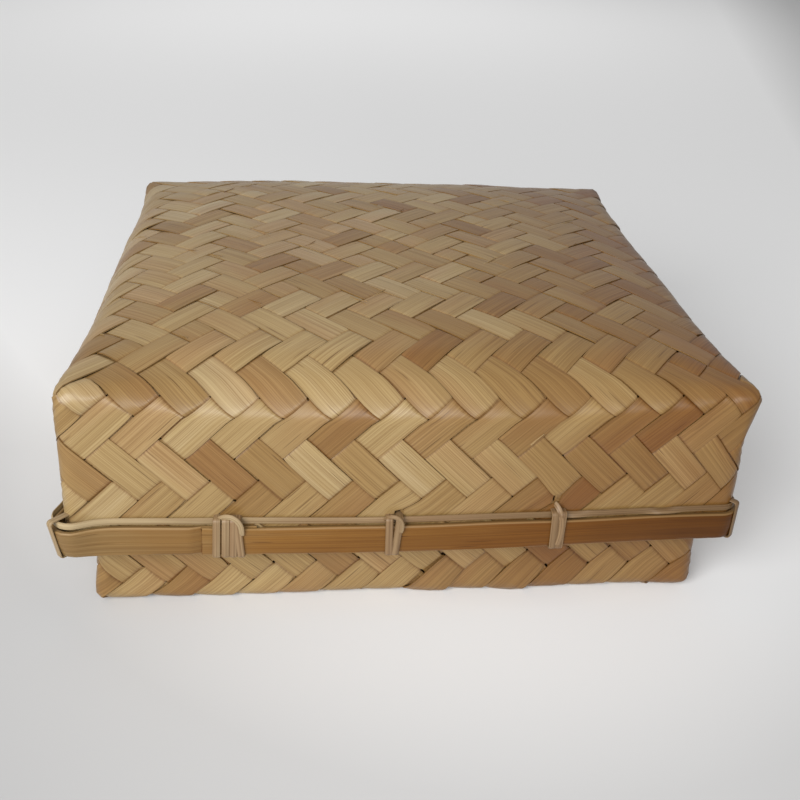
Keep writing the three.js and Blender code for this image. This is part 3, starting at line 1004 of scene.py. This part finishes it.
def lashings(half):
    path = rimPath(half)
    reach = rim["strandThickness"] / 2 + rim["gap"]
    bend, steps = tieLook["bend"], tieLook["steps"]
    looseFoot, looseTop = tieLook["loose"]
    unevenTop, unevenFoot = tieLook["uneven"]
    ties, replaced = [], []
    for side in range(4):
        for i, share in enumerate(half["stations"]):
            kind = "lap" if side == 0 and i == 0 else "side"
            ties.append((lengthAt(half, path, side, share), kind))
            replaced.append(f"{half['name']}_lashing_{half['sides'][side]}_{i + 1}")
        # The corner between this side and the next one clockwise
        ties.append((lengthAtCorner(half, path, side), "corner"))
        corner = "_".join(sorted((half["sides"][side], half["sides"][side - 3])))
        replaced.append(f"{half['name']}_lashing_{corner}")

    routes = []
    for at, kind in ties:
        standOff = tieLook["standOff"] if kind == "corner" else 0.0
        loose = looseness(half, path, at)
        snug = tieLook["snug"] if kind == "corner" and loose < 0.1 else 0.0
        inner = -rim["weave"] - rim["gap"] - half["innerSlat"] - reach - standOff
        outer = rim["gap"] + half["outerSlat"] + reach + tieLook["slack"] - snug
        outerLow = outer + looseFoot * loose
        outerHigh = outer + looseTop * loose - snug
        low = -reach
        high = rim["slatHeight"] + 2 * rim["gap"] + rim["strandWidth"]
        high = high + rim["strandThickness"] / 2 + tieLook["aboveStrand"]
        corners = [
            (inner + bend, low + bend), (outerLow - bend, low + bend),
            (outerHigh - bend, high - bend), (inner + bend, high - bend),
        ]
        middle = (low + high) / 2
        turns = [
            (top + chance.normal(0, unevenTop), foot + chance.normal(0, unevenFoot))
            for top, foot in tieTurns[kind]
        ]
        route = [(inner, middle, -math.pi, turns[0][1])]
        for top, foot in turns:
            for k, (out, z) in enumerate(corners):
                for step in range(steps + 1):
                    angle = -math.pi + math.pi / 2 * (k + step / steps)
                    shift = foot if k < 2 else top
                    route.append((out + math.cos(angle) * bend, z + math.sin(angle) * bend, angle, shift))
        route.append((inner, middle, -math.pi, turns[-1][0]))
        point, normal = alongRim(path, np.array([at]))
        routes.append((np.array(route), point[0], normal[0] / np.linalg.norm(normal[0])))
    longest = max(len(route) for route, _, _ in routes)
    table = np.array([np.pad(route, ((0, longest - len(route)), (0, 0))) for route, _, _ in routes])
    origins = np.array([point for _, point, _ in routes])
    outwards = np.array([normal for _, _, normal in routes])
    tones = chance.uniform(*tieLook["tones"], len(routes))
    # Painted shade: ties are darker towards the right
    tones = tones + tieLook["darker"] * origins[:, 0] / half["size"]
    strides = np.diff(table[:, :, :2], axis=1, prepend=table[:, :1, :2])
    travelled = np.cumsum(np.linalg.norm(strides, axis=2), axis=1)

    def place(level, row, column):
        out, z, angle, shift = table[level, row].T
        pressed = tieLook["pressed"]
        wide, thick, side = strandPoint(
            column, rim["strandWidth"] + pressed, rim["strandThickness"] - pressed
        )
        outward = outwards[level]
        rightward = np.stack([-outward[:, 1], outward[:, 0]], 1)
        radial = out + thick * np.cos(angle)
        flat = origins[level] + outward * radial[:, None] + rightward * (shift + wide)[:, None]
        return {
            "points": np.concatenate([flat, (z + thick * np.sin(angle))[:, None]], 1),
            "uv": np.stack([travelled[level, row] + ownStretch["tie"] * level, side], 1),
            "tone": tones[level],
            "edge": 2 * np.abs(strandAcross[column]),
        }

    sizes = [(len(route) - 1, len(strandSection) - 1) for route, _, _ in routes]
    name = f"{half['name']}_ties"
    gridPiece(name, half, sizes, place, tyingStrand, replaced)


# How a strand's free end is tucked over the top of a tie: rightwards from the tie's middle,
# outwards from the weave and up from the rim, in millimetres
tucks = [
    [(-5.0, 0.7, 12.6), (-3.0, 2.4, 17.6), (1.5, 4.2, 18.6), (5.6, 4.0, 15.6), (4.6, 3.2, 9.0)],
    [(-4.0, 0.6, 12.8), (-2.5, 3.4, 17.6), (1.5, 4.2, 18.0), (3.2, 3.6, 13.6), (2.4, 3.2, 10.0)],
    [(-1.4, -0.6, 17.4), (-0.4, 3.6, 17.2), (0.6, 3.8, 12.8), (1.9, 3.5, 8.0), (0.4, 3.2, 2.0)],
]
tuckLook = {
    "steps": 14,
    "length": 22,
    "uneven": 0.25,
    "width": (0.62, 0.8),  # shares of a whole strand's
    "thinner": 0.2,
    "tones": (0.3, 0.5),
    "darker": 0.25,  # at the right, as painted shade
}


def tuckedEnds(half):
    path = rimPath(half)
    places = [
        (lengthAt(half, path, side, station), tucks[i])
        for side in range(4)
        for i, station in enumerate(half["stations"])
    ]
    at, outward = alongRim(path, np.array([length for length, _ in places]))
    outward /= np.linalg.norm(outward, axis=1, keepdims=True)
    rightward = np.stack([-outward[:, 1], outward[:, 0]], 1)
    bends = np.array([bend for _, bend in places])
    bends = bends + chance.normal(0, tuckLook["uneven"], bends.shape)
    steps = tuckLook["steps"]
    widths = chance.uniform(*tuckLook["width"], len(places)) * rim["strandWidth"]
    tones = chance.uniform(*tuckLook["tones"], len(places))
    # Painted shade: tucked ends are darker towards the right
    tones = tones + tuckLook["darker"] * at[:, 0] / half["size"]

    # A smooth curve that starts and ends on the first and the last of its five points
    def curve(level, share):
        weights = np.stack([math.comb(4, k) * share**k * (1 - share) ** (4 - k) for k in range(5)], 1)
        return np.einsum("nk,nkc->nc", weights, bends[level])

    def place(level, row, column):
        share = row / steps
        middle = curve(level, share)
        along = curve(level, share + 0.01) - curve(level, share - 0.01)
        along /= np.linalg.norm(along, axis=1, keepdims=True)
        outwards = np.array([0.0, 1.0, 0.0]) - along * along[:, 1:2]
        outwards /= np.linalg.norm(outwards, axis=1, keepdims=True)
        sideways = np.cross(outwards, along)
        thickness = rim["strandThickness"] - tuckLook["thinner"]
        wide, thick, side = strandPoint(column, widths[level], thickness)
        right, out, up = (middle + sideways * wide[:, None] + outwards * thick[:, None]).T
        flat = at[level] + rightward[level] * right[:, None] + outward[level] * out[:, None]
        return {
            "points": np.concatenate([flat, up[:, None]], 1),
            "uv": np.stack([tuckLook["length"] * share + ownStretch["tuck"] * level, side], 1),
            "tone": tones[level],
            "edge": 2 * np.abs(strandAcross[column]),
        }

    sizes = [(steps, len(strandSection) - 1)] * len(places)
    gridPiece(f"{half['name']}_tucked_ends", half, sizes, place, tyingStrand, [])


for half in (lid, base):
    runningStrand(half)
    lashings(half)
    tuckedEnds(half)
print("rims tied")


# Floor, light and camera: a pale floor in soft light from the front left, with a pool of light also
# painted on it
room = {
    "floorSize": 12.0,
    "poolAside": 0.05,
    "poolWidth": (0.0, 2.0, 0.5, 1.6),  # it widens from the box's middle to 2 m behind it
    "poolFront": (-0.3, 0.3, 0.7, 0.0),  # over this stretch of floor it fades towards the front
    "floorStops": [
        (0.0, "#ebebeb"), (0.5, "#efefef"), (0.61, "#c6c6c6"), (0.76, "#a8a8a8"), (0.9, "#959595"),
    ],
    "farReach": (2.2, 6.0),
    "farTone": "#f0f0f0",
}


def makeFloor():
    ground = bmesh.new()
    bmesh.ops.create_circle(ground, cap_ends=True, segments=96, radius=room["floorSize"])
    mesh = bpy.data.meshes.new("floor")
    ground.to_mesh(mesh)
    ground.free()
    material, tree = newMaterial("paleCard")
    # Painted pool of light: the floor is painted paler round the box and darker further out. The pool
    # widens towards the back and ends soon in front of the box
    spot = addNode(tree, "TexCoord").outputs["Object"]
    axes = addNode(tree, "SeparateXYZ", {0: spot}).outputs
    width = ranged(tree, axes["Y"], *room["poolWidth"])
    near = ranged(tree, axes["Y"], *room["poolFront"])
    aside = combined(tree, "SUBTRACT", axes["X"], room["poolAside"])
    share = combined(tree, "DIVIDE", aside, width)
    both = addNode(tree, "CombineXYZ", {"X": share, "Y": near}).outputs[0]
    distance = addNode(tree, "VectorMath", {0: both}, operation="LENGTH").outputs["Value"]
    paintedPool = addNode(tree, "ValToRGB", {"Fac": distance}, room["floorStops"]).outputs[0]
    # Far off, the floor meets the room's own tone
    away = addNode(tree, "VectorMath", {0: spot}, operation="LENGTH").outputs["Value"]
    far = ranged(tree, away, *room["farReach"], 0.0, 1.0)
    colour = tinted(tree, far, paintedPool, room["farTone"], "MIX")
    surface = addNode(tree, "BsdfPrincipled", {"Base Color": colour, "Roughness": 0.9})
    addNode(tree, "OutputMaterial", {"Surface": surface.outputs[0]})
    mesh.materials.append(material)
    floor = bpy.data.objects.new("floor", mesh)
    bpy.context.scene.collection.objects.link(floor)


def makeLight(name, place, aim, size, power, spread=180):
    data = bpy.data.lights.new(name, "AREA")
    data.shape = "DISK"
    data.size = size
    data.energy = power
    data.spread = math.radians(spread)
    light = bpy.data.objects.new(name, data)
    light.location = place
    light.rotation_euler = (Vector(aim) - Vector(place)).to_track_quat("-Z", "Y").to_euler()
    bpy.context.scene.collection.objects.link(light)


def makeWorld():
    world = bpy.data.worlds.new("paleRoom")
    world.use_nodes = True
    tree = world.node_tree
    tree.nodes.clear()
    light = addNode(tree, "Background", {"Color": linear("#f4f4f4"), "Strength": 0.53})
    seen = addNode(tree, "Background", {"Color": linear("#acacac"), "Strength": 1.0})
    toCamera = addNode(tree, "LightPath").outputs["Is Camera Ray"]
    both = addNode(tree, "MixShader", {0: toCamera, 1: light.outputs[0], 2: seen.outputs[0]})
    addNode(tree, "OutputWorld", {"Surface": both.outputs[0]})
    bpy.context.scene.world = world


makeFloor()
makeWorld()
makeLight("keyFromFrontLeft", (-0.72, -0.98, 0.66), (-0.03, -0.05, 0.05), 0.9, 17.2)
makeLight("softFromFront", (0.08, -1.1, 0.64), (0.0, -0.1, 0.05), 0.45, 3.6)
makeLight("farFloorLight", (0.0, 1.8, 1.7), (0.0, 1.5, 0.0), 1.2, 2.6, 75)

# The photograph's own camera: about 0.5 m away, looking down at 28 degrees
shot = {
    "place": (-33.4, -444.1, 261.7),
    "pitch": 27.97,
    "yaw": 5.35,
    "roll": 1.93,
    "focalPixels": 1043.1,
    "imagePixels": 800,
}


def makeCamera():
    pitch, yaw, roll = (math.radians(shot[key]) for key in ("pitch", "yaw", "roll"))
    forward = Vector((math.sin(yaw) * math.cos(pitch), math.cos(yaw) * math.cos(pitch), -math.sin(pitch)))
    level = Vector((math.cos(yaw), -math.sin(yaw), 0))
    above = level.cross(forward)
    right = math.cos(roll) * level + math.sin(roll) * above
    up = -math.sin(roll) * level + math.cos(roll) * above
    data = bpy.data.cameras.new("photoCamera")
    data.sensor_width = 36
    data.lens = 36 * shot["focalPixels"] / shot["imagePixels"]
    data.clip_start = 0.01
    camera = bpy.data.objects.new("photoCamera", data)
    turn = Matrix([(right[k], up[k], -forward[k]) for k in range(3)]).to_4x4()
    camera.matrix_world = Matrix.Translation(Vector(shot["place"]) * mm) @ turn
    bpy.context.scene.collection.objects.link(camera)
    bpy.context.scene.camera = camera


makeCamera()
bpy.context.scene.view_settings.view_transform = "Standard"
print("floor, light and camera set")
